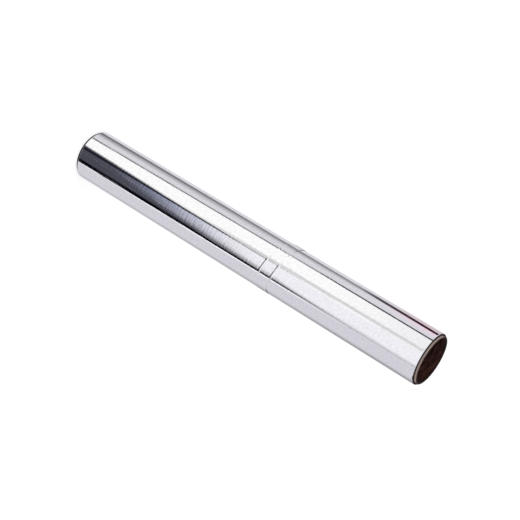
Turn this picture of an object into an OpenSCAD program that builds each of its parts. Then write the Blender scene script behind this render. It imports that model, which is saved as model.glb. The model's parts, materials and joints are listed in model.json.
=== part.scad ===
// Household aluminium foil roll: foil wound on a cardboard core and closed with a band of clear tape.
// It stands on one end. Z is the axis of the core, and the core's lower end lies on Z = 0.

/* [Core] */
// Bore of the core
bore_d = 32.4; // [20:0.2:60]
// Wall of the core
core_wall = 1.8; // [1.6:0.1:4]
// Length of core that stands out of the foil at each end
core_proud = 1.5; // [0.8:0.1:8]
// Width of the outer edge that the cutting knife rounded over, across the wall
cut_round_w = 0.9; // [0.3:0.1:1]
// Height of that rounding, along the core
cut_round_h = 0.5; // [0.2:0.1:0.7]
// Chamfer at the mouths of the bore
bore_chamfer = 0.3; // [0.1:0.1:0.5]

/* [Foil] */
// Width of the foil
foil_w = 300; // [150:1:460]
// Thickness of the wound foil, from the core to the outside
foil_build = 1; // [0.7:0.1:15]
// Turns of the spiral, each of which stands for several sheets
turns = 10; // [6:1:20]
// Width over which the foil's side edges draw in towards the core
side_edge_w = 0.2; // [0.05:0.05:0.4]
// Height of that draw, along the roll
side_edge_h = 1.2; // [0.5:0.1:3]
// How far the outer turns fall short of the inner ones at each end
end_slope = 0.3; // [0:0.05:1]
// Depth of the spiral groove between the turns' ends
turn_groove = 0.12; // [0.05:0.01:0.3]
// Gap between the core and the first turn at each end
first_turn_gap = 0.15; // [0.05:0.05:0.25]
// Depth to which that gap reaches under the foil
first_turn_depth = 2; // [0.5:0.5:5]
// Direction of the foil's free edge about the core, from X
free_edge_at = 105; // [0:5:355]

/* [Tape] */
// Width of the tape
tape_w = 10; // [5:0.5:30]
// Thickness of the tape
tape_t = 0.12; // [0.05:0.01:0.3]
// Height of the band's middle above the middle of the foil
tape_up = 28; // [-50:1:50]
// Tilt of the band, which was put on by hand
tape_tilt = 10; // [0:0.5:12]
// Length of the web by which the tape comes down from the free edge
tape_web = 0.5; // [0.3:0.1:2]
// Distance from the free edge to the tape's outer end, round the roll
tape_end_gap = 3; // [2:0.5:10]
// Length over which the tape laps itself
tape_lap = 22; // [5:1:30]

/* [Hidden] */

bore_r = bore_d / 2;
core_r = bore_r + core_wall;
core_len = foil_w + 2 * core_proud;
// Half the spiral's pitch, to a whole micrometre, so that the two half rings of each turn meet exactly
half_pitch = round(500 * foil_build / turns) / 1000;
turn_pitch = 2 * half_pitch;
roll_r = core_r + turns * turn_pitch;
// Room that a cutting shape has beyond the surface that it cuts
spare = 1;
$fn = 128;

// What a rounding takes off a corner at [0, 0] of an outline that lies below and left of it. The arc
// starts flush with the longer of the two sides and ends on the shorter one.
module corner_waste(round_w, round_h) {
    arc_r = (round_w ^ 2 + round_h ^ 2) / (2 * min(round_w, round_h));
    difference() {
        translate([-round_w, -round_h]) square([round_w + spare, round_h + spare]);
        translate(round_w > round_h ? [-round_w, -arc_r] : [-arc_r, -round_h]) circle(r = arc_r);
    }
}

// The same cut at both ends of an outline whose Y axis is the core's axis
module both_ends(length) {
    translate([0, length]) children();
    mirror([0, 1]) children();
}

module core_tube() {
    color([0.56, 0.45, 0.36])
    rotate_extrude()
    difference() {
        translate([bore_r, 0]) square([core_wall, core_len]);
        both_ends(core_len) {
            translate([core_r, 0]) corner_waste(cut_round_w, cut_round_h);
            polygon([[bore_r - spare, spare], [bore_r + bore_chamfer + spare, spare],
                     [bore_r - spare, -bore_chamfer - spare]]);
        }
    }
}

// How far the end of turn number k falls short of the foil's full width
function turn_short(k) = end_slope * k / turns;

// Outline of the wound foil out to radius r, with the turns' ends as ridges. It reaches two turns into
// the core, whose place is cut out afterwards.
module foil_outline(r) {
    first_r = r - turns * turn_pitch;
    ridges = [for (k = [0 : turns - 1], top = [false, true])
        [first_r + (k + (top ? 0.5 : 0)) * turn_pitch, turn_short(k) + (top ? 0 : turn_groove)]];
    lower = concat([[first_r - 2 * turn_pitch, turn_groove]], ridges, [[r, turn_short(turns) + turn_groove]]);
    upper = [for (k = [len(lower) - 1 : -1 : 0]) [lower[k][0], foil_w - lower[k][1]]];
    difference() {
        polygon(concat(lower, upper));
        both_ends(foil_w) translate([r, 0]) corner_waste(side_edge_w, side_edge_h);
    }
}

// Turns an outline into the two half rings of a spiral. The second half's centre lies half a pitch
// towards X, so that each turn runs on into the next one, and the last turn ends in a step at X.
module spiral_halves() {
    rotate_extrude(angle = 180) children(0);
    translate([half_pitch, 0, 0]) rotate([0, 0, 180]) rotate_extrude(angle = 180) children(1);
}

module foil_roll() {
    color([0.82, 0.83, 0.85])
    translate([0, 0, core_proud])
    difference() {
        rotate([0, 0, free_edge_at]) spiral_halves() {
            foil_outline(roll_r);
            foil_outline(roll_r + half_pitch);
        }
        translate([0, 0, -spare]) cylinder(r = core_r, h = foil_w + 2 * spare);
        for (end = [0, 1])
            translate([0, 0, end * foil_w]) mirror([0, 0, end])
            cylinder(r1 = core_r + first_turn_gap, r2 = core_r, h = first_turn_depth);
    }
}

// A layer of tape of the given thickness outside radius r, before its sides are cut
module tape_section(r, thickness) {
    side = 2 * (tape_w + roll_r);
    translate([r, -side / 2]) square([thickness, side]);
}

// The angle that a length takes up round the roll
function round_angle(length) = length / roll_r * 180 / PI;

// The tape's one turn over the foil's spiral, the web where it comes down from the free edge, and the
// second layer where it laps itself
module tape_turns() {
    spiral_halves() {
        tape_section(roll_r, tape_t);
        tape_section(roll_r + half_pitch, tape_t);
    }
    rotate_extrude(angle = round_angle(tape_web)) tape_section(roll_r, turn_pitch + tape_t);
    rotate([0, 0, round_angle(tape_end_gap)])
        rotate_extrude(angle = round_angle(tape_lap)) tape_section(roll_r, 2 * tape_t);
}

module closure_tape() {
    across = 4 * (roll_r + turn_pitch + tape_t);
    color([0.93, 0.93, 0.9, 0.5])
    translate([0, 0, core_proud + foil_w / 2 + tape_up])
    intersection() {
        rotate([0, 0, free_edge_at]) tape_turns();
        rotate([0, tape_tilt, 0]) cube([across, across, tape_w], center = true);
    }
}

core_tube();
foil_roll();
closure_tape();
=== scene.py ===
"""A household aluminium foil roll that stands on one end in a light tent.

The wound foil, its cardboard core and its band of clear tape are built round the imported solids. The
foil is a mirror, so its look comes from the tent: pale screens, a black flag and a few narrow cards
that only reflections see. Lengths are metres and the roll's axis is Z.
"""

import json
from math import cos, pi, radians, sin, tan

import bmesh
import bpy
import numpy as np
from mathutils import Matrix, Vector


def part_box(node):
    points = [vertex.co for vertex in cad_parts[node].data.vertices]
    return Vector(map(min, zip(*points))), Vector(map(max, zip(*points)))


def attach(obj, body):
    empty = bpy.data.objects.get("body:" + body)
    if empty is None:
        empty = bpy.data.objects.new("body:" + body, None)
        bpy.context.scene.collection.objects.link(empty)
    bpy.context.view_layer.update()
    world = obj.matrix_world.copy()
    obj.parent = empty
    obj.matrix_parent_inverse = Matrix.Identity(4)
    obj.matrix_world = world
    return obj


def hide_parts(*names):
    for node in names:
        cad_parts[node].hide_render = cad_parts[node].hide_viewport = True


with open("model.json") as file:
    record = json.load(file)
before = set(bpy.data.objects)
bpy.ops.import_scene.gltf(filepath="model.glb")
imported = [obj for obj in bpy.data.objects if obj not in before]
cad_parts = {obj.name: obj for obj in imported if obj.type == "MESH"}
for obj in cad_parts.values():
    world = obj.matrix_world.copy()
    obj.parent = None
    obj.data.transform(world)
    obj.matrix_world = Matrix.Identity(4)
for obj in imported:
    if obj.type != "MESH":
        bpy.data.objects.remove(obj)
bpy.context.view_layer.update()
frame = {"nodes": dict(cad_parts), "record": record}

bl_info = {
    "name": "Aluminium Foil Roll",
    "version": (1, 0, 0),
    "blender": (4, 5, 0),
    "location": "3D View > Sidebar > Foil Roll",
    "description": "Builds a roll of aluminium foil on its core, with a light tent to see it in",
    "category": "Add Mesh",
}

SHEET_MAP = "sheet"
MM = 0.001
CORE_LOW, CORE_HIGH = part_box("core_tube")
FOIL_LOW, FOIL_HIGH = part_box("foil_roll")
TAPE_LOW, TAPE_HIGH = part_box("closure_tape")
BORE_R = next(m["dims"]["r_mm"] for m in frame["record"]["mounts"] if m["name"] == "core_bore") * MM
CORE_R = CORE_HIGH.x
TAPE_MIDDLE = (TAPE_LOW.z + TAPE_HIGH.z) / 2
# Nearly all values of a noise lie between these two.
NOISE_RANGE = (0.3, 0.7)


class FoilSettings(bpy.types.PropertyGroup):
    """Sizes and finish of the wound foil."""
    turns: bpy.props.IntProperty(
        name="Turns", description="Turns of the spiral, each of which stands for several sheets",
        default=10, min=3, max=20)
    build: bpy.props.FloatProperty(
        name="Build", description="Thickness of the wound foil, from the core to the outside",
        default=1.0 * MM, unit="LENGTH", precision=5)
    free_edge: bpy.props.FloatProperty(
        name="Free edge", description="Direction of the sheet's free edge about the axis, from X",
        default=radians(105), subtype="ANGLE")
    edge_width: bpy.props.FloatProperty(
        name="Edge draw, across", description="Width over which the side edges draw in",
        default=0.2 * MM, unit="LENGTH", precision=5)
    edge_height: bpy.props.FloatProperty(
        name="Edge draw, along", description="Height over which the side edges draw in",
        default=1.2 * MM, unit="LENGTH", precision=5)
    end_slope: bpy.props.FloatProperty(
        name="End slope", description="How far the outer turns fall short of the inner ones",
        default=0.3 * MM, unit="LENGTH", precision=5)
    groove: bpy.props.FloatProperty(
        name="Groove", description="Depth of the spiral groove between the turns' ends",
        default=0.12 * MM, unit="LENGTH", precision=5)
    gap_depth: bpy.props.FloatProperty(
        name="Gap depth", description="Depth of the gap between the core and the foil's ends",
        default=2 * MM, unit="LENGTH", precision=4)
    ripple: bpy.props.FloatProperty(
        name="Ripple", description="Height of the faint ripples that winding leaves in the sheet",
        default=0.008 * MM, unit="LENGTH", precision=6)
    crease: bpy.props.FloatProperty(
        name="Crease", description="Height of the creases that the tape's edges press up",
        default=0.09 * MM, unit="LENGTH", precision=6)
    crease_width: bpy.props.FloatProperty(
        name="Crease width", description="Distance over which such a crease dies out on each side",
        default=0.5 * MM, unit="LENGTH", precision=6)
    crease_at: bpy.props.FloatProperty(
        name="Crease at", description="Direction, from X, in which these creases are highest",
        default=radians(-76), subtype="ANGLE")
    crease_span: bpy.props.FloatProperty(
        name="Crease span", description="Angle in which the creases fade from there",
        default=radians(28), subtype="ANGLE")
    # Height of the painted shade on the stacked sheet edges at the ends.
    edge_shade_height: bpy.props.FloatProperty(
        name="Shaded edge", description="Height over which the stacked sheet edges are dark",
        default=0.6 * MM, unit="LENGTH", precision=5)
    metal: bpy.props.FloatVectorProperty(
        name="Metal", description="Colour of bright rolled aluminium",
        default=(1.0, 0.995, 1.0), subtype="COLOR", min=0, max=1)
    # The stacked sheet edges' dark colour is painted shade for the light lost between the sheets.
    shaded_cut_ends: bpy.props.FloatVectorProperty(
        name="Cut ends", description="Colour of the stacked sheet edges at the ends",
        default=(0.025, 0.023, 0.022), subtype="COLOR", min=0, max=1)


class CoreSettings(bpy.types.PropertyGroup):
    """Colours and winding of the cardboard core."""
    board: bpy.props.FloatVectorProperty(
        name="Board", description="Colour of the board's outer face and cut end",
        default=(0.275, 0.205, 0.185), subtype="COLOR", min=0, max=1)
    # The bore's dark colour is painted shade for the inside of the tube.
    bore: bpy.props.FloatVectorProperty(
        name="Bore", description="Colour of the dark inner plies",
        default=(0.037, 0.0125, 0.009), subtype="COLOR", min=0, max=1)
    # Depth of the inner plies that take the painted shade of the tube's inside.
    shaded_plies: bpy.props.FloatProperty(
        name="Inner plies", description="Thickness of the dark inner plies",
        default=1.36 * MM, unit="LENGTH", precision=5)
    # Painted shade: a dark line where the core leaves the foil.
    foot_shade: bpy.props.FloatProperty(
        name="Foot", description="Height of the dark line where the core leaves the foil",
        default=0.2 * MM, unit="LENGTH", precision=5)
    # Dark colour of the painted shade on the board and in the bore, which also draws the seam's own dark
    # joint.
    shaded_board: bpy.props.FloatVectorProperty(
        name="Shaded board",
        description="Colour of the board up to the foil's edge, in its seam and at its mouths",
        default=(0.012, 0.009, 0.008), subtype="COLOR", min=0, max=1)
    ply_lead: bpy.props.FloatProperty(
        name="Ply lead", description="Height that one turn of a spiral ply climbs",
        default=62 * MM, unit="LENGTH", precision=4)


class TapeSettings(bpy.types.PropertyGroup):
    """Sizes and finish of the band of clear tape."""
    width: bpy.props.FloatProperty(
        name="Width", description="Width of the tape", default=10 * MM, unit="LENGTH", precision=4)
    thickness: bpy.props.FloatProperty(
        name="Thickness", description="Thickness of one layer of tape",
        default=0.12 * MM, unit="LENGTH", precision=5)
    soft_side: bpy.props.FloatProperty(
        name="Soft side", description="Width over which the film thins towards its sides, in thicknesses",
        default=7.0, min=0)
    end_gap: bpy.props.FloatProperty(
        name="End gap", description="Distance round the roll from the free edge to the second layer",
        default=3 * MM, unit="LENGTH", precision=4)
    lap: bpy.props.FloatProperty(
        name="Lap", description="Length over which the tape laps itself",
        default=22 * MM, unit="LENGTH", precision=4)
    bite: bpy.props.FloatProperty(
        name="Bite", description="Place of the film's inner face, in thicknesses above the foil's face",
        default=-0.25)
    ramp: bpy.props.FloatProperty(
        name="Ramp", description="Length in which the film comes down from an edge below it",
        default=0.5 * MM, unit="LENGTH", precision=4)
    film: bpy.props.FloatVectorProperty(
        name="Film", description="Colour of the clear film",
        default=(1.0, 1.0, 1.0), subtype="COLOR", min=0, max=1)


class StageSettings(bpy.types.PropertyGroup):
    """The camera, the floor and the light tent."""
    aim: bpy.props.FloatVectorProperty(
        name="Aim", description="Point that the camera looks at",
        default=(2.37 * MM, 0, 161.58 * MM), subtype="TRANSLATION", precision=5)
    distance: bpy.props.FloatProperty(
        name="Distance", description="Distance of the camera from that point",
        default=890 * MM, unit="LENGTH")
    elevation: bpy.props.FloatProperty(
        name="Elevation", description="Height of the camera above the horizon",
        default=radians(25.17), subtype="ANGLE")
    bank: bpy.props.FloatProperty(
        name="Bank", description="Turn of the camera about its own view axis",
        default=radians(-121.455), subtype="ANGLE")
    lens: bpy.props.FloatProperty(
        name="Lens", description="Focal length in millimetres", default=89.44)
    floor: bpy.props.FloatVectorProperty(
        name="Floor", description="Colour of the floor", default=(0.9, 0.9, 0.9),
        subtype="COLOR", min=0, max=1)
    floor_white: bpy.props.FloatProperty(
        name="Floor white", description="Strength of the white that is the floor's own, 1 for white",
        default=1.06, min=0)
    floor_own: bpy.props.FloatProperty(
        name="Floor's own share", description="Share of the floor's look that is its own white",
        default=0.75, subtype="FACTOR", min=0, max=1)
    floor_r: bpy.props.FloatProperty(
        name="Floor radius", description="Radius of the round floor", default=4.0, unit="LENGTH")
    cloth: bpy.props.FloatVectorProperty(
        name="Tent cloth", description="Colour of the tent's white cloth", default=(1.05, 1.05, 1.05),
        subtype="COLOR", min=0, max=1.2)
    key_place: bpy.props.FloatVectorProperty(
        name="Lamp place", description="Place of the soft lamp", default=(-0.9, -1.6, 2.2),
        subtype="TRANSLATION")
    key_size: bpy.props.FloatProperty(
        name="Lamp size", description="Width of the soft lamp", default=1.6, unit="LENGTH")
    key_power: bpy.props.FloatProperty(
        name="Lamp power", description="Power of the soft lamp", default=18.0, unit="POWER")
    tent_r: bpy.props.FloatProperty(
        name="Tent radius", description="Radius of the light tent", default=2.0, unit="LENGTH")


def feed(tree, made, sockets):
    """Links a node's inputs to sockets or sets them to values."""
    for name, value in sockets.items():
        if isinstance(value, bpy.types.NodeSocket):
            tree.links.new(value, made.inputs[name])
        else:
            made.inputs[name].default_value = value


def add_node(tree, kind, sockets=None, **properties):
    """A shader node with its properties and its inputs."""
    made = tree.nodes.new("ShaderNode" + kind)
    for name, value in properties.items():
        setattr(made, name, value)
    feed(tree, made, sockets or {})
    return made


def maths(tree, operation, *values):
    """The result of a maths node on values or sockets."""
    return add_node(tree, "Math", dict(enumerate(values)), operation=operation).outputs[0]


def remap(tree, value, low, high, to_low=0.0, to_high=1.0, soft=False):
    """value taken from low..high to to_low..to_high and held at both ends."""
    sockets = {"Value": value, "From Min": low, "From Max": high, "To Min": to_low, "To Max": to_high}
    kind = "SMOOTHSTEP" if soft else "LINEAR"
    return add_node(tree, "MapRange", sockets, interpolation_type=kind).outputs["Result"]


def blend_colours(tree, factor, first, second):
    """Two colours mixed by a factor."""
    return add_node(tree, "Mix", {0: factor, 6: first, 7: second}, data_type="RGBA").outputs[2]


def rgba(colour, tone=1.0):
    """A colour property made darker or lighter by a factor, with full opacity."""
    return (*(part * tone for part in colour), 1.0)


def new_group(name, inputs, outputs):
    """An empty shader node group with its sockets, and its input and output nodes."""
    tree = bpy.data.node_groups.new(name, "ShaderNodeTree")
    for in_out, sockets in (("INPUT", inputs), ("OUTPUT", outputs)):
        for socket, kind in sockets.items():
            tree.interface.new_socket(socket, in_out=in_out, socket_type="NodeSocket" + kind)
    return tree, tree.nodes.new("NodeGroupInput").outputs, tree.nodes.new("NodeGroupOutput").inputs


def streak_group():
    """Streaks that run along X of the given map: noise stretched to a length along X and a spacing
    along Y, as a height about 0.5 and as a mask of the few that rise above Sparse."""
    tree, given, out = new_group(
        "Streaks", {"Map": "Vector", "Length": "Float", "Spacing": "Float", "Sparse": "Float"},
        {"Height": "Float", "Marks": "Float"})
    axes = add_node(tree, "SeparateXYZ", {0: given["Map"]}).outputs
    along = maths(tree, "DIVIDE", axes["X"], given["Length"])
    across = maths(tree, "DIVIDE", axes["Y"], given["Spacing"])
    place = add_node(tree, "CombineXYZ", {"X": along, "Y": across, "Z": axes["Z"]}).outputs[0]
    noise = add_node(tree, "TexNoise", {"Vector": place, "Scale": 1.0, "Detail": 3.0,
                                        "Roughness": 0.6}).outputs[0]
    tree.links.new(noise, out["Height"])
    full = maths(tree, "ADD", given["Sparse"], 0.06)
    tree.links.new(remap(tree, noise, given["Sparse"], full, soft=True), out["Marks"])
    return tree


def end_nearness_group():
    """How near a height is to either end, for wear and painted shade there: 1 at an end, 0 one reach away
    from both.
    """
    tree, given, out = new_group(
        "End nearness", {"Height": "Float", "Low": "Float", "High": "Float", "Reach": "Float"},
        {"Nearness": "Float"})
    from_low = maths(tree, "SUBTRACT", given["Height"], given["Low"])
    from_high = maths(tree, "SUBTRACT", given["High"], given["Height"])
    nearest = maths(tree, "MINIMUM", from_low, from_high)
    share = maths(tree, "DIVIDE", nearest, given["Reach"])
    tree.links.new(remap(tree, share, 0.0, 1.0, 1.0, 0.0, soft=True), out["Nearness"])
    return tree


def card_group():
    """One card of the tent, hung in front of what lies behind it. Its sides stand at two azimuths, given
    at the height of EYE_LINE, and each leans with the elevation. Its top rises towards its far side with
    the cube of the distance. All four edges fade. Angles are degrees."""
    names = ("Azimuth", "Elevation", "From", "From Lean", "From Soft", "To", "To Lean", "To Soft",
             "Bottom", "Bottom Soft", "Top", "Top Soft", "Rise")
    tree, given, out = new_group(
        "Tent card", {**dict.fromkeys(names, "Float"), "Behind": "Color", "Card": "Color"},
        {"Seen": "Color"})
    azimuth, elevation = given["Azimuth"], given["Elevation"]
    above = maths(tree, "SUBTRACT", elevation, EYE_LINE)
    near = maths(tree, "MULTIPLY_ADD", given["From Lean"], above, given["From"])
    far = maths(tree, "MULTIPLY_ADD", given["To Lean"], above, given["To"])
    rise = maths(tree, "POWER", remap(tree, azimuth, near, far), 3.0)
    top = maths(tree, "MULTIPLY_ADD", given["Rise"], rise, given["Top"])
    edges = (
        remap(tree, azimuth, near, maths(tree, "ADD", near, given["From Soft"]), soft=True),
        remap(tree, azimuth, maths(tree, "SUBTRACT", far, given["To Soft"]), far, 1.0, 0.0, soft=True),
        remap(tree, elevation, given["Bottom"], maths(tree, "ADD", given["Bottom"], given["Bottom Soft"]),
              soft=True),
        remap(tree, elevation, maths(tree, "SUBTRACT", top, given["Top Soft"]), top, 1.0, 0.0, soft=True),
    )
    mask = 1.0
    for edge in edges:
        mask = maths(tree, "MULTIPLY", edge, mask)
    tree.links.new(blend_colours(tree, mask, given["Behind"], given["Card"]), out["Seen"])
    return tree


SHARED = {}


def shared(make):
    """The node group that make builds, built once and kept under its own name."""
    if make.__name__ not in SHARED:
        SHARED[make.__name__] = make()
    return SHARED[make.__name__]


def use_group(tree, make, sockets):
    """A shared group placed in a material with its own values."""
    made = tree.nodes.new("ShaderNodeGroup")
    made.node_tree = shared(make)
    feed(tree, made, sockets)
    return made.outputs


def new_material(name):
    """A material with an empty tree and its output node."""
    material = bpy.data.materials.new(name)
    material.use_nodes = True
    tree = material.node_tree
    tree.nodes.clear()
    return material, tree, tree.nodes.new("ShaderNodeOutputMaterial")


def foil_material(settings):
    """Bright rolled foil: a mirror with fine rolling lines round the roll. Long scratches run almost along
    the roll and short hatches slant across it. Both haze the mirror where they stand highest, and the
    hatches tone its colour too. The stacked sheet edges at the ends are rough, and their dark colour is
    painted shade for the light lost between the sheets. Handling dulls the foil beside them. The sheet
    map is in millimetres: X runs round the roll and Y along it."""
    material, tree, output = new_material("bright foil")
    sheet = add_node(tree, "UVMap", uv_map=SHEET_MAP).outputs["UV"]
    width = (FOIL_HIGH.z - FOIL_LOW.z) / MM
    height = add_node(tree, "SeparateXYZ", {0: sheet}).outputs["Y"]

    def streaks(angle, length, spacing):
        """Height of the streaks that run at an angle to the rolling lines."""
        turned = add_node(tree, "VectorRotate", {"Vector": sheet, "Angle": radians(angle)},
                          rotation_type="Z_AXIS").outputs[0]
        return use_group(tree, streak_group,
                         {"Map": turned, "Length": length, "Spacing": spacing})["Height"]

    def near_ends(low, reach):
        """1 at the foil's ends, 0 one reach away from them. The lower end is taken to lie at low."""
        return use_group(tree, end_nearness_group,
                         {"Height": height, "Low": low, "High": width, "Reach": reach})["Nearness"]

    lines = streaks(0, length=9.0, spacing=1.6)
    scratches = streaks(92, length=60.0, spacing=0.9)
    hatches = streaks(35, length=3.0, spacing=1.1)
    wear = near_ends(0.0, reach=2.5)
    # The stack's painted shade reaches a little higher at the end that the roll stands on,
    # for the floor's shadow there.
    stack = remap(tree, near_ends(0.35, reach=settings.edge_shade_height / MM), 0.1, 0.35)
    metal = blend_colours(tree, remap(tree, hatches, *NOISE_RANGE), rgba(settings.metal),
                          rgba(settings.metal, 0.84))
    # The stacked edges take their painted shade over the metal.
    colour = blend_colours(tree, stack, metal, rgba(settings.shaded_cut_ends))
    rough = remap(tree, lines, *NOISE_RANGE, 0.022, 0.04)
    for heights, onset, most in ((scratches, 0.54, 0.19), (hatches, 0.52, 0.04)):
        rough = maths(tree, "ADD", rough, remap(tree, heights, onset, 0.72, 0.0, most))
    for mask, most in ((wear, 0.06), (stack, 0.35)):
        rough = maths(tree, "MULTIPLY_ADD", mask, most, rough)
    relief = lines
    for heights, share in ((scratches, 0.15), (hatches, 0.4)):
        relief = maths(tree, "MULTIPLY_ADD", heights, share, relief)
    bump = add_node(tree, "Bump", {"Height": relief, "Strength": 1.0, "Distance": 0.028 * MM})
    tangent = add_node(tree, "Tangent", direction_type="UV_MAP", uv_map=SHEET_MAP)
    shader = add_node(tree, "BsdfPrincipled", {
        "Base Color": colour, "Metallic": 1.0, "Roughness": rough, "Anisotropic": 0.7,
        "Anisotropic Rotation": 0.25, "Tangent": tangent.outputs[0], "Normal": bump.outputs[0]})
    tree.links.new(shader.outputs[0], output.inputs["Surface"])
    return material


def core_material(settings):
    """Spiral-wound board: grey-brown layers at the cut ends, blotched plies inside, a seam that climbs in a
    helix and paper fibres. The inner plies' dark brown is painted shade for the inside of the tube. Painted
    shade darkens the board up to just above the foil, at the mouths of its bore and on its two sides along
    X.
    The seam is the board's own dark joint, in the same dark colour."""
    material, tree, output = new_material("spiral wound board")
    place = add_node(tree, "TexCoord").outputs["Object"]
    axes = add_node(tree, "SeparateXYZ", {0: place}).outputs
    height = axes["Z"]
    turns = maths(tree, "DIVIDE", maths(tree, "ARCTAN2", axes["Y"], axes["X"]), 2 * pi)
    flat = add_node(tree, "CombineXYZ", {"X": axes["X"], "Y": axes["Y"]}).outputs[0]
    radius = add_node(tree, "VectorMath", {0: flat}, operation="LENGTH").outputs["Value"]
    # The board's own map, in millimetres: round the core, along it and through its wall.
    board_map = add_node(tree, "CombineXYZ", {
        "X": maths(tree, "MULTIPLY", turns, 2 * pi * CORE_R / MM),
        "Y": maths(tree, "DIVIDE", height, MM), "Z": maths(tree, "DIVIDE", radius, MM)}).outputs[0]
    fibres = use_group(tree, streak_group,
                       {"Map": board_map, "Length": 1.6, "Spacing": 0.35, "Sparse": 0.62})
    blotches = use_group(tree, streak_group, {"Map": board_map, "Length": 9.0, "Spacing": 1.6})["Height"]
    layers = add_node(tree, "TexNoise", {"Scale": 1.0, "Detail": 2.0, "W": maths(
        tree, "DIVIDE", radius, 0.22 * MM)}, noise_dimensions="1D").outputs[0]
    climb = maths(tree, "SUBTRACT", maths(tree, "DIVIDE", height, settings.ply_lead), turns)
    off_seam = maths(tree, "ABSOLUTE", maths(tree, "SUBTRACT", maths(tree, "FRACT", climb), 0.5))
    seam = remap(tree, off_seam, 0.0, 0.012, 1.0, 0.0)

    ragged = maths(tree, "MULTIPLY_ADD", fibres["Height"], 0.3 * MM, radius)
    # The inner plies, out to a ragged edge, take the painted shade of the tube's inside.
    inner_r = BORE_R + settings.shaded_plies
    inner = remap(tree, ragged, inner_r, inner_r + 0.25 * MM, 1.0, 0.0, soft=True)
    # The painted shade where the core leaves the foil fades over its upper edge.
    shaded_board = remap(tree, height, FOIL_HIGH.z + settings.foot_shade * 0.8, FOIL_HIGH.z + settings.foot_shade * 1.3,
                   1.0, 0.0, soft=True)
    # Painted shade on the board's two sides along X.
    held = remap(tree, maths(tree, "ABSOLUTE", axes["X"]), 0.93 * CORE_R, 0.985 * CORE_R, 0.0, 0.85,
                 soft=True)
    # Painted shade at the two ends of the bore.
    mouth_shade = use_group(tree, end_nearness_group, {
        "Height": height, "Low": CORE_LOW.z, "High": CORE_HIGH.z, "Reach": 1.5 * MM})["Nearness"]

    # One dark colour for the painted shade and for the seam.
    dark_shade_and_seam = rgba(settings.shaded_board)
    board = blend_colours(tree, remap(tree, layers, *NOISE_RANGE), rgba(settings.board),
                          rgba(settings.board, 0.8))
    board = blend_colours(tree, maths(tree, "MULTIPLY", fibres["Marks"], 0.5), board,
                          rgba(settings.board, 1.35))
    board = blend_colours(tree, maths(tree, "MAXIMUM", shaded_board, held), board, dark_shade_and_seam)
    # The dark brown of the bore is painted shade; its blotches vary the tone.
    bore = blend_colours(tree, remap(tree, blotches, 0.36, 0.64), rgba(settings.bore, 0.3),
                         rgba(settings.bore, 1.7))
    bore = blend_colours(tree, maths(tree, "MULTIPLY", mouth_shade, 0.9), bore, dark_shade_and_seam)
    colour = blend_colours(tree, inner, board, bore)
    # The seam is the board's own dark joint, drawn in the same dark colour.
    colour = blend_colours(tree, maths(tree, "MULTIPLY", seam, 0.6), colour, dark_shade_and_seam)
    relief = maths(tree, "SUBTRACT", fibres["Height"], seam)
    bump = add_node(tree, "Bump", {"Height": relief, "Strength": 1.0, "Distance": 0.05 * MM})
    shader = add_node(tree, "BsdfPrincipled", {
        "Base Color": colour, "Roughness": remap(tree, fibres["Height"], *NOISE_RANGE, 0.72, 0.9),
        "Specular IOR Level": 0.15, "Normal": bump.outputs[0]})
    tree.links.new(shader.outputs[0], output.inputs["Surface"])
    return material


def tape_material(settings):
    """Clear film: a thin glossy skin that shows the foil below it, with faint draw lines."""
    material, tree, output = new_material("clear tape")
    sheet = add_node(tree, "UVMap", uv_map=SHEET_MAP).outputs["UV"]
    lines = use_group(tree, streak_group, {"Map": sheet, "Length": 14.0, "Spacing": 0.8, "Sparse": 0.6})
    bump = add_node(tree, "Bump", {"Height": lines["Height"], "Strength": 1.0, "Distance": 0.004 * MM})
    colour = blend_colours(tree, lines["Marks"], rgba(settings.film), rgba(settings.film, 0.985))
    shader = add_node(tree, "BsdfPrincipled", {
        "Base Color": colour, "Roughness": remap(tree, lines["Height"], *NOISE_RANGE, 0.02, 0.05),
        "IOR": 1.2, "Transmission Weight": 1.0, "Normal": bump.outputs[0]})
    tree.links.new(shader.outputs[0], output.inputs["Surface"])
    return material


def mesh_object(name, skins):
    """An object at the origin from skins, each of which is its points, their places on the sheet map and
    its faces. Points that coincide are joined after the map is laid, so that seams close and keep it.
    Edges sharper than 30 degrees stay sharp."""
    firsts = np.cumsum([0] + [len(points) for points, _, _ in skins[:-1]])
    points = np.concatenate([points for points, _, _ in skins])
    sheet = np.concatenate([places for _, places, _ in skins])
    faces = [face for first, (_, _, part) in zip(firsts, skins)
             for face in (np.array(part) + first).tolist()]
    mesh = bpy.data.meshes.new(name)
    mesh.from_pydata(points.tolist(), [], faces)
    corners = np.empty(len(mesh.loops), np.int32)
    mesh.loops.foreach_get("vertex_index", corners)
    mesh.uv_layers.new(name=SHEET_MAP).uv.foreach_set("vector", sheet[corners].ravel())
    joined = bmesh.new()
    joined.from_mesh(mesh)
    bmesh.ops.remove_doubles(joined, verts=joined.verts, dist=0.001 * MM)
    joined.to_mesh(mesh)
    joined.free()
    mesh.shade_smooth()
    mesh.set_sharp_from_angle(angle=radians(30))
    made = bpy.data.objects.new(name, mesh)
    bpy.context.scene.collection.objects.link(made)
    return made


def grid_faces(rows, columns):
    """The quads of a grid of points that are numbered row by row. Seen with rows upwards and columns
    to the right they turn anticlockwise."""
    corner = np.arange(rows - 1)[:, None] * columns + np.arange(columns - 1)
    return np.stack([corner, corner + 1, corner + columns + 1, corner + columns], -1).reshape(-1, 4)


def ease(share):
    """A share from 0 to 1, eased at both ends: three times its square less twice its cube."""
    return share ** 2 * (3 - 2 * share)


def spiral_radius(angle, radius, half_pitch):
    """Radius of a two-arc spiral at an angle past the free edge: a half ring of the given radius, then
    a half ring whose centre lies half a pitch towards the free edge."""
    turn = np.mod(angle, 2 * pi)
    return radius + np.where(turn < pi, 0.0, half_pitch * (1 + np.cos(turn)))


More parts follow.
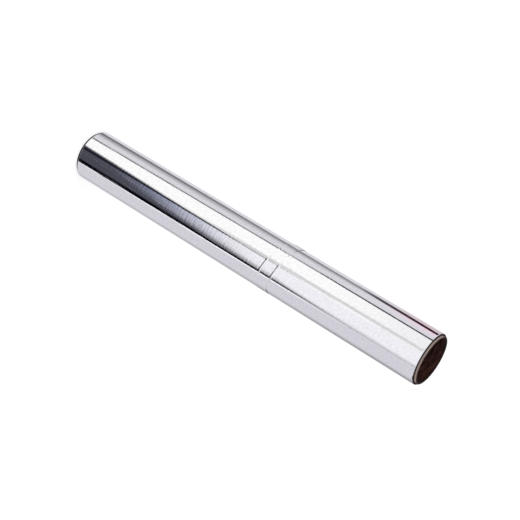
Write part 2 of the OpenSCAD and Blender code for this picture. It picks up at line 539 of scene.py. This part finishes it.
def tape_tilt(width):
    """Tilt of the band about Y, from the height of its solid: half of that height is half the width
    over the tilt's cosine, and the radius times the tilt's tangent. A few rounds of putting the tilt
    back into this settle it."""
    half_height = (TAPE_HIGH.z - TAPE_LOW.z) / 2
    tilt = 0.0
    for _ in range(8):
        tilt = np.arctan((half_height - width / 2 / cos(tilt)) / FOIL_HIGH.x)
    return tilt


def ripples(around, along):
    """Faint ripples of the wound sheet, about -1 to 1: a sum of 14 waves from a seeded generator. Each
    runs at a slant, with 1 to 6 waves round the roll and a length of 25 to 140 mm along it."""
    draw = np.random.default_rng(11)
    total = np.zeros(np.broadcast(around, along).shape)
    for _ in range(14):
        turns = draw.integers(1, 7)
        length = draw.uniform(25, 140) * MM
        phase = draw.uniform(0, 2 * pi)
        total = total + np.sin(turns * around + 2 * pi * along / length + phase) / turns
    return total / 4


def station_rows(low, high, marks, coarse, fine, reach):
    """Heights from low to high, a coarse step apart, and a fine step apart within reach of each mark."""
    rows = [np.arange(low, high, coarse), [high]]
    rows += [np.arange(max(low, m - reach), min(high, m + reach), fine) for m in marks]
    rows = np.unique(np.round(np.concatenate(rows), 7))
    keep = np.concatenate([[True], np.diff(rows) > fine / 2])
    return rows[keep]


def wound_foil(foil, tape):
    """The wound sheet as one closed skin: an outer wall, the spiral ends of the turns, the wall against
    the core and the steps where the sheet starts and ends.

    Outer wall: at angle a and row height v the radius is the spiral's, less the arc by which the side
    edges draw in, plus ripples and two ridges along the tape's edges. Rows near the tape shift by
    minus x times the tape's slope, so that they run along its edges.
    Ends: turn k at share q of its pitch lies at radius core + (k + q) pitch on the same spiral, and its
    height is the slope of the roll's end plus a groove at q = 0 and q = 1. The first turn is left out
    there, which leaves the gap round the core, and the last one is the wall's drawn-in edge."""
    half = foil.build / foil.turns / 2
    pitch = 2 * half
    low, high = FOIL_LOW.z, FOIL_HIGH.z
    outer_r = CORE_R + foil.build
    a = np.linspace(0, 2 * pi, 241)
    spiral = spiral_radius(a, 0, half)
    spiral[-1] = pitch

    def end_height(radius, depth):
        """How far a turn's end falls short of the foil's full width, with a share of the groove."""
        return foil.end_slope * (radius - CORE_R) / foil.build + foil.groove * depth

    def skin(radius, turn, z, faces):
        """Points at a radius, an angle past the free edge and a height, their sheet map and faces."""
        angle = turn + foil.free_edge
        place = np.stack(np.broadcast_arrays(radius * np.cos(angle), radius * np.sin(angle), z), -1)
        sheet = np.stack(np.broadcast_arrays(turn * outer_r, z - low + 0 * radius), -1) / MM
        return place.reshape(-1, 3), sheet.reshape(-1, 2), faces

    # The outer wall, with the ripples calm near the ends
    tilt = tape_tilt(tape.width)
    tape_edges = [TAPE_MIDDLE - tape.width / 2, TAPE_MIDDLE + tape.width / 2]
    rows = station_rows(low + foil.edge_height / 2, high - foil.edge_height / 2,
                        [*tape_edges, low + foil.edge_height, high - foil.edge_height],
                        coarse=2.5 * MM, fine=0.1 * MM, reach=1.3 * MM)
    v, turn = rows[:, None], a[None, :]
    end_distance = np.minimum(v - low, high - v)
    drawn = np.clip(foil.edge_height - end_distance, 0, None)
    arc_r = (foil.edge_width ** 2 + foil.edge_height ** 2) / (2 * foil.edge_width)
    radius = outer_r + spiral[None, :] - (arc_r - np.sqrt(arc_r ** 2 - drawn ** 2))
    calm = np.clip(end_distance / (12 * MM), 0, 1)
    radius = radius + foil.ripple * calm * ripples(turn + foil.free_edge, v)

    # The creases along the tape's edges, of which a trace is left all round
    trace = 0.03
    beside = np.remainder(turn + foil.free_edge - foil.crease_at + pi, 2 * pi) - pi
    crease = foil.crease * (trace + (1 - trace) * np.exp(-(beside / foil.crease_span) ** 4))
    for edge in tape_edges:
        off = (v - edge) * cos(tilt) / foil.crease_width
        radius = radius + crease * np.exp(-off ** 2)
    near_tape = ease(np.clip(1 - (np.abs(v - TAPE_MIDDLE) - tape.width) / (60 * MM), 0, 1))
    z = v - near_tape * tan(tilt) * radius * np.cos(turn + foil.free_edge)

    # The wall's drawn-in rims, and the step of the free edge, which joins its first and last columns
    rim_r = outer_r - pitch + spiral
    rim_z = end_height(rim_r, 1.0)
    radius, z = np.vstack([rim_r, radius, rim_r]), np.vstack([low + rim_z, z, high - rim_z])
    step = np.arange(len(z) - 1) * len(a)
    step = np.stack([step, step + len(a), step + 2 * len(a) - 1, step + len(a) - 1], -1)
    skins = [skin(radius, turn, z, grid_faces(*z.shape)), skin(radius, turn, z, step)]

    # The wall against the core, which leans out to the second turn at both ends
    gap_r = CORE_R + pitch + spiral
    gap_z = end_height(gap_r, 1.0)
    wall_r, depth = np.full(len(a), CORE_R), np.full(len(a), foil.gap_depth)
    radius = np.stack([gap_r, wall_r, wall_r, gap_r])
    z = np.stack([low + gap_z, low + depth, high - depth, high - gap_z])
    skins.append(skin(radius, turn, z, grid_faces(4, len(a))[:, ::-1]))

    # The ends of the turns, and the sheet's first and last edges there
    turns = np.arange(1, foil.turns - 1)
    sweep = np.append((a[:-1] + 2 * pi * turns[:, None]).ravel(), 2 * pi * (foil.turns - 1))[:, None]
    inner_r = np.append((pitch * turns[:, None] + spiral[:-1]).ravel(), pitch * (foil.turns - 1))
    radius = CORE_R + inner_r[:, None] + pitch * np.array([0.0, 0.5, 1.0])
    height = end_height(radius, np.array([1.0, 0.0, 1.0]))
    quads = grid_faces(len(sweep), 3)
    last = 3 * len(sweep) - 3 + np.arange(3)[None, :]
    for z, flip in ((high - height, 1), (low + height, -1)):
        skins.append(skin(radius, sweep, z, quads[:, ::flip]))
        skins.append(skin(radius, sweep, z, last[:, ::flip]))
        start_r = np.append(radius[0], CORE_R)
        start_z = np.append(z[0], high - foil.gap_depth if flip > 0 else low + foil.gap_depth)
        skins.append(skin(start_r, 0 * start_r + 2 * pi, start_z, [[2, 1, 0, 3][::flip]]))
    return mesh_object("wound_foil", skins)


def tape_band(foil, tape):
    """The band of tape: a thin section carried once round the foil's spiral. At angle a past the free
    edge its outer face stands one layer off the foil, and two where it laps itself. Each of these steps
    is a smooth ramp. Across the width the section is flat, and over the soft side by each edge its height
    eases down to a twentieth. Every point shifts along the axis by minus x times the band's slope."""
    half = foil.build / foil.turns / 2
    a = np.linspace(0, 2 * pi, 721)[:-1]
    outer_r = CORE_R + foil.build
    length = a * outer_r

    def ramp(start):
        """0 before a length round the roll, 1 one ramp past it."""
        return ease(np.clip((length - start) / tape.ramp, 0, 1))

    under = spiral_radius(a, outer_r, half) + 2 * half * (1 - ramp(0))
    layers = 1 + ramp(tape.end_gap) - ramp(tape.end_gap + tape.lap - tape.ramp)

    # The section: one side, the flat middle, the other side, and the inner face. The film's own
    # thickness is a little under the solid's, which keeps it inside, and little of it is left at the sides.
    outward = np.linspace(0, 1, 6)
    side = tape.width / 2 - tape.soft_side * tape.thickness * (1 - outward)
    middle = np.linspace(-0.4, 0.4, 5) * tape.width
    film, side_left = 0.97 * tape.thickness, 0.05
    thinned = 1 - (1 - side_left) * ease(outward)
    across = np.concatenate([-side[::-1], middle, side, [tape.width / 2, -tape.width / 2]])
    rise = np.concatenate([thinned[::-1], np.ones_like(middle), thinned, [tape.bite, tape.bite]])

    tilt = tape_tilt(tape.width)
    direction = (a + foil.free_edge)[None, :]
    radius = under[None, :] + rise[:, None] * film * layers[None, :]
    x, y = radius * np.cos(direction), radius * np.sin(direction)
    z = TAPE_MIDDLE + across[:, None] / cos(tilt) - x * tan(tilt)
    points = np.stack([x, y, z], -1)
    rows, columns = radius.shape
    index = np.arange(rows * columns).reshape(rows, columns)
    index = np.concatenate([index, index[:1]])
    index = np.concatenate([index, index[:, :1]], 1)
    faces = np.stack([index[:-1, :-1], index[:-1, 1:], index[1:, 1:], index[1:, :-1]], -1).reshape(-1, 4)
    sheet = np.stack(np.broadcast_arrays(length[None, :], across[:, None]), -1) / MM
    return mesh_object("tape_band", [(points.reshape(-1, 3), sheet.reshape(-1, 2), faces)])


def settle(piece, material, node):
    """Gives a new piece its material and hangs it on the root body, the body it rides on. The solid
    that it stands for is hidden."""
    piece.data.materials.append(material)
    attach(piece, "root")
    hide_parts(node)


class FOILROLL_OT_wind_foil(bpy.types.Operator):
    """Winds the foil and gives it its bright rolled finish"""
    bl_idname = "foil_roll.wind_foil"
    bl_label = "Wind Foil"

    def execute(self, context):
        scene = context.scene
        piece = wound_foil(scene.roll_foil, scene.roll_tape)
        settle(piece, foil_material(scene.roll_foil), "foil_roll")
        return {"FINISHED"}


class FOILROLL_OT_finish_core(bpy.types.Operator):
    """Gives the core its spiral-wound board"""
    bl_idname = "foil_roll.finish_core"
    bl_label = "Finish Core"

    def execute(self, context):
        core = frame["nodes"]["core_tube"]
        core.data.materials.clear()
        core.data.materials.append(core_material(context.scene.roll_core))
        return {"FINISHED"}


class FOILROLL_OT_put_on_tape(bpy.types.Operator):
    """Puts on the band of clear tape"""
    bl_idname = "foil_roll.put_on_tape"
    bl_label = "Put On Tape"

    def execute(self, context):
        scene = context.scene
        piece = tape_band(scene.roll_foil, scene.roll_tape)
        settle(piece, tape_material(scene.roll_tape), "closure_tape")
        return {"FINISHED"}


# Cards of the tent, from the back one to the front one. Sides are azimuths in degrees from -Y towards
# +X, and tops and bottoms are elevations in degrees. Values that a card doesn't give are PLAIN_CARD's.
EYE_LINE = -25.0
PLAIN_CARD = {"From": -181.0, "From Lean": 0.0, "From Soft": 1.0, "To": 181.0, "To Lean": 0.0,
              "To Soft": 1.0, "Bottom": -100.0, "Bottom Soft": 4.0, "Top": 100.0, "Top Soft": 4.0,
              "Rise": 0.0}
CARDS = {
    "upper cloth": {"Bottom": -20, "Bottom Soft": 8, "Card": (0.92, 0.92, 0.94)},
    "front screen": {"From": -5, "From Soft": 10, "To": 63, "Card": (0.94, 0.93, 0.98)},
    "front screen's edge": {"From": 43, "From Soft": 19, "To": 63, "Card": (0.52, 0.52, 0.55)},
    "wing": {"To": -70, "To Soft": 2, "To Lean": -0.35, "Card": (0.735, 0.725, 0.775)},
    "wing's grey side": {"From": -112, "From Soft": 12, "To": -84, "To Soft": 12, "Top": -23,
                         "Top Soft": 5, "Card": (0.65, 0.645, 0.68)},
    "wing shade": {"From": -128.5, "From Soft": 3, "To": -91.8, "To Lean": -0.5, "To Soft": 36,
                   "Card": (0.16, 0.16, 0.17)},
    "wing front": {"To": -76, "To Soft": 6, "Bottom": -18.4, "Bottom Soft": 0.9,
                   "Card": (0.735, 0.725, 0.785)},
    "wing line": {"From": -73.8, "From Soft": 2.5, "From Lean": -0.45, "To": -66, "To Soft": 2.5,
                  "To Lean": -0.52, "Top": -19, "Top Soft": 5, "Card": (0.13, 0.13, 0.14)},
    "wing line's upper end": {"From": -77, "From Soft": 2.5, "To": -68.3, "To Soft": 2.5,
                              "Bottom": -24, "Bottom Soft": 5, "Card": (0.01, 0.01, 0.02)},
    "rose card": {"From": -131, "From Soft": 4, "To": -82, "To Soft": 26, "Bottom": -17.5,
                  "Bottom Soft": 4, "Top": -6, "Card": (0.88, 0.71, 0.80)},
    "rose card's far side": {"To": -127, "To Soft": 4, "Bottom": -17.5, "Bottom Soft": 4,
                             "Top": -6, "Card": (0.67, 0.57, 0.61)},
    "black strip": {"From": -144.5, "From Lean": 1.2, "From Soft": 8, "To": -112, "To Lean": 0.3,
                    "To Soft": 4, "Bottom": -18.4, "Bottom Soft": 1, "Top": -6,
                    "Card": (0.06, 0.056, 0.066)},
    "black strip's near end": {"From": -144.5, "From Lean": 1.2, "From Soft": 8, "To": -112.4,
                               "To Lean": 0.3, "To Soft": 4, "Bottom": -16.5, "Bottom Soft": 2,
                               "Top": -6, "Card": (0.03, 0.0, 0.012)},
    "side screen": {"From": 60.8, "From Lean": -0.17, "From Soft": 1.5, "Card": (0.685, 0.675, 0.735)},
    "side screen's edge": {"From": 60.8, "From Lean": -0.17, "To": 68.5, "To Soft": 4, "Top": -17,
                           "Top Soft": 8, "Card": (1.25, 1.24, 1.28)},
    "side shade": {"From": 118, "From Soft": 30, "Bottom": -40, "Bottom Soft": 26,
                   "Card": (0.37, 0.37, 0.39)},
    "side line": {"From": 131, "From Soft": 6, "To": 149, "To Soft": 6, "Top": -20, "Top Soft": 8,
                  "Card": (0.49, 0.49, 0.51)},
    "soft line": {"From": -20, "From Soft": 9, "From Lean": -0.4, "To": 1.5, "To Soft": 9,
                  "To Lean": -0.7, "Bottom": -31.5, "Bottom Soft": 6, "Card": (0.67, 0.67, 0.69)},
    "blue veil": {"From": -4, "From Soft": 5, "To": 60, "To Soft": 12, "Bottom": -45, "Top": -26,
                  "Top Soft": 6.5, "Card": (0.57, 0.63, 0.88)},
    "flag's far corner": {"From": 35, "From Soft": 14, "To": 62.8, "To Lean": -0.17, "Bottom": -36,
                          "Bottom Soft": 8, "Top": -23.4, "Top Soft": 1.2, "Card": (0.56, 0.56, 0.60)},
    "flag": {"From": -8.3, "From Soft": 9, "From Lean": 0.98, "To": 62.8, "To Lean": -0.17,
             "To Soft": 1.4, "Bottom": -42.5, "Bottom Soft": 1.5, "Top": -25.3, "Top Soft": 11.2,
             "Rise": 11.5, "Card": (0.068, 0.068, 0.089)},
    "flag line": {"From": -6.9, "From Soft": 4, "From Lean": 0.3, "To": 1, "To Lean": -0.25, "To Soft": 4,
                  "Bottom": -42.5, "Bottom Soft": 1.5, "Top": -18.8, "Top Soft": 9.4,
                  "Card": (0.012, 0.012, 0.022)},
    "flag edge": {"From": 49.5, "From Lean": 0.45, "From Soft": 7, "To": 63.2, "To Soft": 1.2,
                  "To Lean": -0.17, "Bottom": -42.5, "Bottom Soft": 1.5, "Top": -18, "Top Soft": 6.5,
                  "Card": (0.0, 0.0, 0.003)},
    "floor shade": {"From": -22, "From Soft": 8, "To": 66, "To Soft": 3, "Bottom": -55, "Bottom Soft": 6,
                    "Top": -41.5, "Top Soft": 1.5, "Card": (0.17, 0.17, 0.16)},
    "far flag": {"From": 92, "From Soft": 14, "To": 134, "To Soft": 20, "Bottom": -10,
                 "Bottom Soft": 7, "Card": (0.10, 0.10, 0.11)},
    "far wing": {"From": -150, "From Soft": 8, "To": -112, "To Soft": 24, "Bottom": -8,
                 "Bottom Soft": 6, "Card": (0.20, 0.20, 0.21)},
}


def tent_material(stage):
    """The tent's cloth: it glows in its own white, with the cards hung in front of one another."""
    material, tree, output = new_material("tent")
    place = add_node(tree, "UVMap", uv_map=SHEET_MAP).outputs["UV"]
    axes = add_node(tree, "SeparateXYZ", {0: place}).outputs
    seen = rgba(stage.cloth)
    for card in CARDS.values():
        values = {**PLAIN_CARD, **card, "Card": rgba(card["Card"]), "Behind": seen}
        seen = use_group(tree, card_group, {"Azimuth": axes["X"], "Elevation": axes["Y"], **values})[0]
    glow = add_node(tree, "Emission", {"Color": seen, "Strength": 1.0})
    tree.links.new(glow.outputs[0], output.inputs["Surface"])
    return material


def light_tent(stage):
    """The tent: a closed sphere about the roll's middle that only reflections see. At an azimuth and an
    elevation, the point lies one radius from the middle. Its map holds these two angles in degrees."""
    rows, columns = 91, 145
    azimuth = np.radians(np.linspace(-180, 180, columns))[None, :]
    elevation = np.radians(np.linspace(-90, 90, rows))[:, None]
    middle = (CORE_LOW.z + CORE_HIGH.z) / 2
    points = np.stack(np.broadcast_arrays(
        stage.tent_r * np.sin(azimuth) * np.cos(elevation),
        -stage.tent_r * np.cos(azimuth) * np.cos(elevation),
        middle + stage.tent_r * np.sin(elevation)), -1)
    sheet = np.degrees(np.stack(np.broadcast_arrays(azimuth, elevation), -1))
    tent = mesh_object("light_tent", [
        (points.reshape(-1, 3), sheet.reshape(-1, 2), grid_faces(rows, columns))])
    tent.data.materials.append(tent_material(stage))
    tent.visible_camera = False
    tent.visible_diffuse = False
    tent.visible_shadow = False


def floor_disc(stage):
    """The round floor at height 0: rings about the origin, whose radius grows with the square of their
    number. Reflections don't see it, because the tent reaches below it. For the camera, and for metal
    and glass, part of its white is its own."""
    rings, spokes = 9, 65
    angle = np.linspace(0, 2 * pi, spokes)[None, :]
    radius = np.linspace(0, 1, rings)[:, None] ** 2 * stage.floor_r
    points = np.stack(np.broadcast_arrays(radius * np.cos(angle), radius * np.sin(angle), 0.0), -1)
    points = points.reshape(-1, 3)
    floor = mesh_object("floor", [(points, points[:, :2], grid_faces(rings, spokes)[:, ::-1])])
    material, tree, output = new_material("white floor")
    path = add_node(tree, "LightPath").outputs
    seen = maths(tree, "MAXIMUM", path["Is Camera Ray"],
                 maths(tree, "MAXIMUM", path["Is Glossy Ray"], path["Is Transmission Ray"]))
    matt = add_node(tree, "BsdfDiffuse", {"Color": rgba(stage.floor)}).outputs[0]
    white = add_node(tree, "Emission", {"Color": (1, 1, 1, 1), "Strength": stage.floor_white}).outputs[0]
    own = maths(tree, "MULTIPLY", seen, stage.floor_own)
    mixed = add_node(tree, "MixShader", {0: own, 1: matt, 2: white})
    tree.links.new(mixed.outputs[0], output.inputs["Surface"])
    floor.data.materials.append(material)
    floor.visible_glossy = False
    floor.visible_transmission = False


def place_camera(stage):
    """The camera: it stands off its aim by the distance at the given elevation on the -Y side, and is
    then turned about its view axis."""
    back = Vector((0, -cos(stage.elevation), sin(stage.elevation)))
    level_up = Vector((0, sin(stage.elevation), cos(stage.elevation)))
    level_right = Vector((1, 0, 0))
    up = level_up * cos(stage.bank) + level_right * sin(stage.bank)
    right = up.cross(back)
    camera = bpy.data.objects.new("camera", bpy.data.cameras.new("camera"))
    camera.data.lens = stage.lens
    camera.data.sensor_width = 36
    place = Matrix((right, up, back)).transposed().to_4x4()
    place.translation = Vector(stage.aim) + back * stage.distance
    camera.matrix_world = place
    bpy.context.scene.collection.objects.link(camera)
    bpy.context.scene.camera = camera


def light_world():
    """A plain white surround at strength 1, which lights the matt surfaces."""
    world = bpy.data.worlds.new("white surround")
    world.use_nodes = True
    sky = world.node_tree.nodes["Background"]
    sky.inputs["Color"].default_value = (1, 1, 1, 1)
    sky.inputs["Strength"].default_value = 1.0
    bpy.context.scene.world = world


def key_lamp(stage):
    """One wide soft lamp high on the camera's side, which metal and film don't mirror."""
    lamp = bpy.data.lights.new("key", "AREA")
    lamp.shape = "DISK"
    lamp.size = stage.key_size
    lamp.energy = stage.key_power
    made = bpy.data.objects.new("key", lamp)
    made.location = stage.key_place
    made.rotation_mode = "QUATERNION"
    made.rotation_quaternion = (-Vector(stage.key_place)).to_track_quat("-Z", "Y")
    made.visible_glossy = False
    made.visible_transmission = False
    bpy.context.scene.collection.objects.link(made)


class FOILROLL_OT_set_stage(bpy.types.Operator):
    """Sets up the floor, the light tent, the light and the camera"""
    bl_idname = "foil_roll.set_stage"
    bl_label = "Set Stage"

    def execute(self, context):
        stage = context.scene.roll_stage
        light_world()
        light_tent(stage)
        floor_disc(stage)
        key_lamp(stage)
        place_camera(stage)
        context.scene.view_settings.view_transform = "Standard"
        return {"FINISHED"}


class FOILROLL_PT_builder(bpy.types.Panel):
    """Lists the roll's pieces with their sizes"""
    bl_idname = "FOILROLL_PT_builder"
    bl_label = "Foil Roll"
    bl_space_type = "VIEW_3D"
    bl_region_type = "UI"
    bl_category = "Foil Roll"

    def draw(self, context):
        for operator, (name, group) in zip(OPERATORS, SETTINGS.items()):
            box = self.layout.box()
            for field in group.__annotations__:
                box.prop(getattr(context.scene, name), field)
            box.operator(operator.bl_idname)


SETTINGS = {"roll_foil": FoilSettings, "roll_core": CoreSettings, "roll_tape": TapeSettings,
            "roll_stage": StageSettings}
OPERATORS = (FOILROLL_OT_wind_foil, FOILROLL_OT_finish_core, FOILROLL_OT_put_on_tape,
             FOILROLL_OT_set_stage)
CLASSES = (*SETTINGS.values(), *OPERATORS, FOILROLL_PT_builder)


def register():
    for made in CLASSES:
        bpy.utils.register_class(made)
    for name, group in SETTINGS.items():
        setattr(bpy.types.Scene, name, bpy.props.PointerProperty(type=group))


def unregister():
    for name in SETTINGS:
        delattr(bpy.types.Scene, name)
    for made in reversed(CLASSES):
        bpy.utils.unregister_class(made)


def main():
    """Builds every piece in order."""
    register()
    bpy.ops.foil_roll.wind_foil()
    bpy.ops.foil_roll.finish_core()
    bpy.ops.foil_roll.put_on_tape()
    bpy.ops.foil_roll.set_stage()


if __name__ == "__main__":
    main()
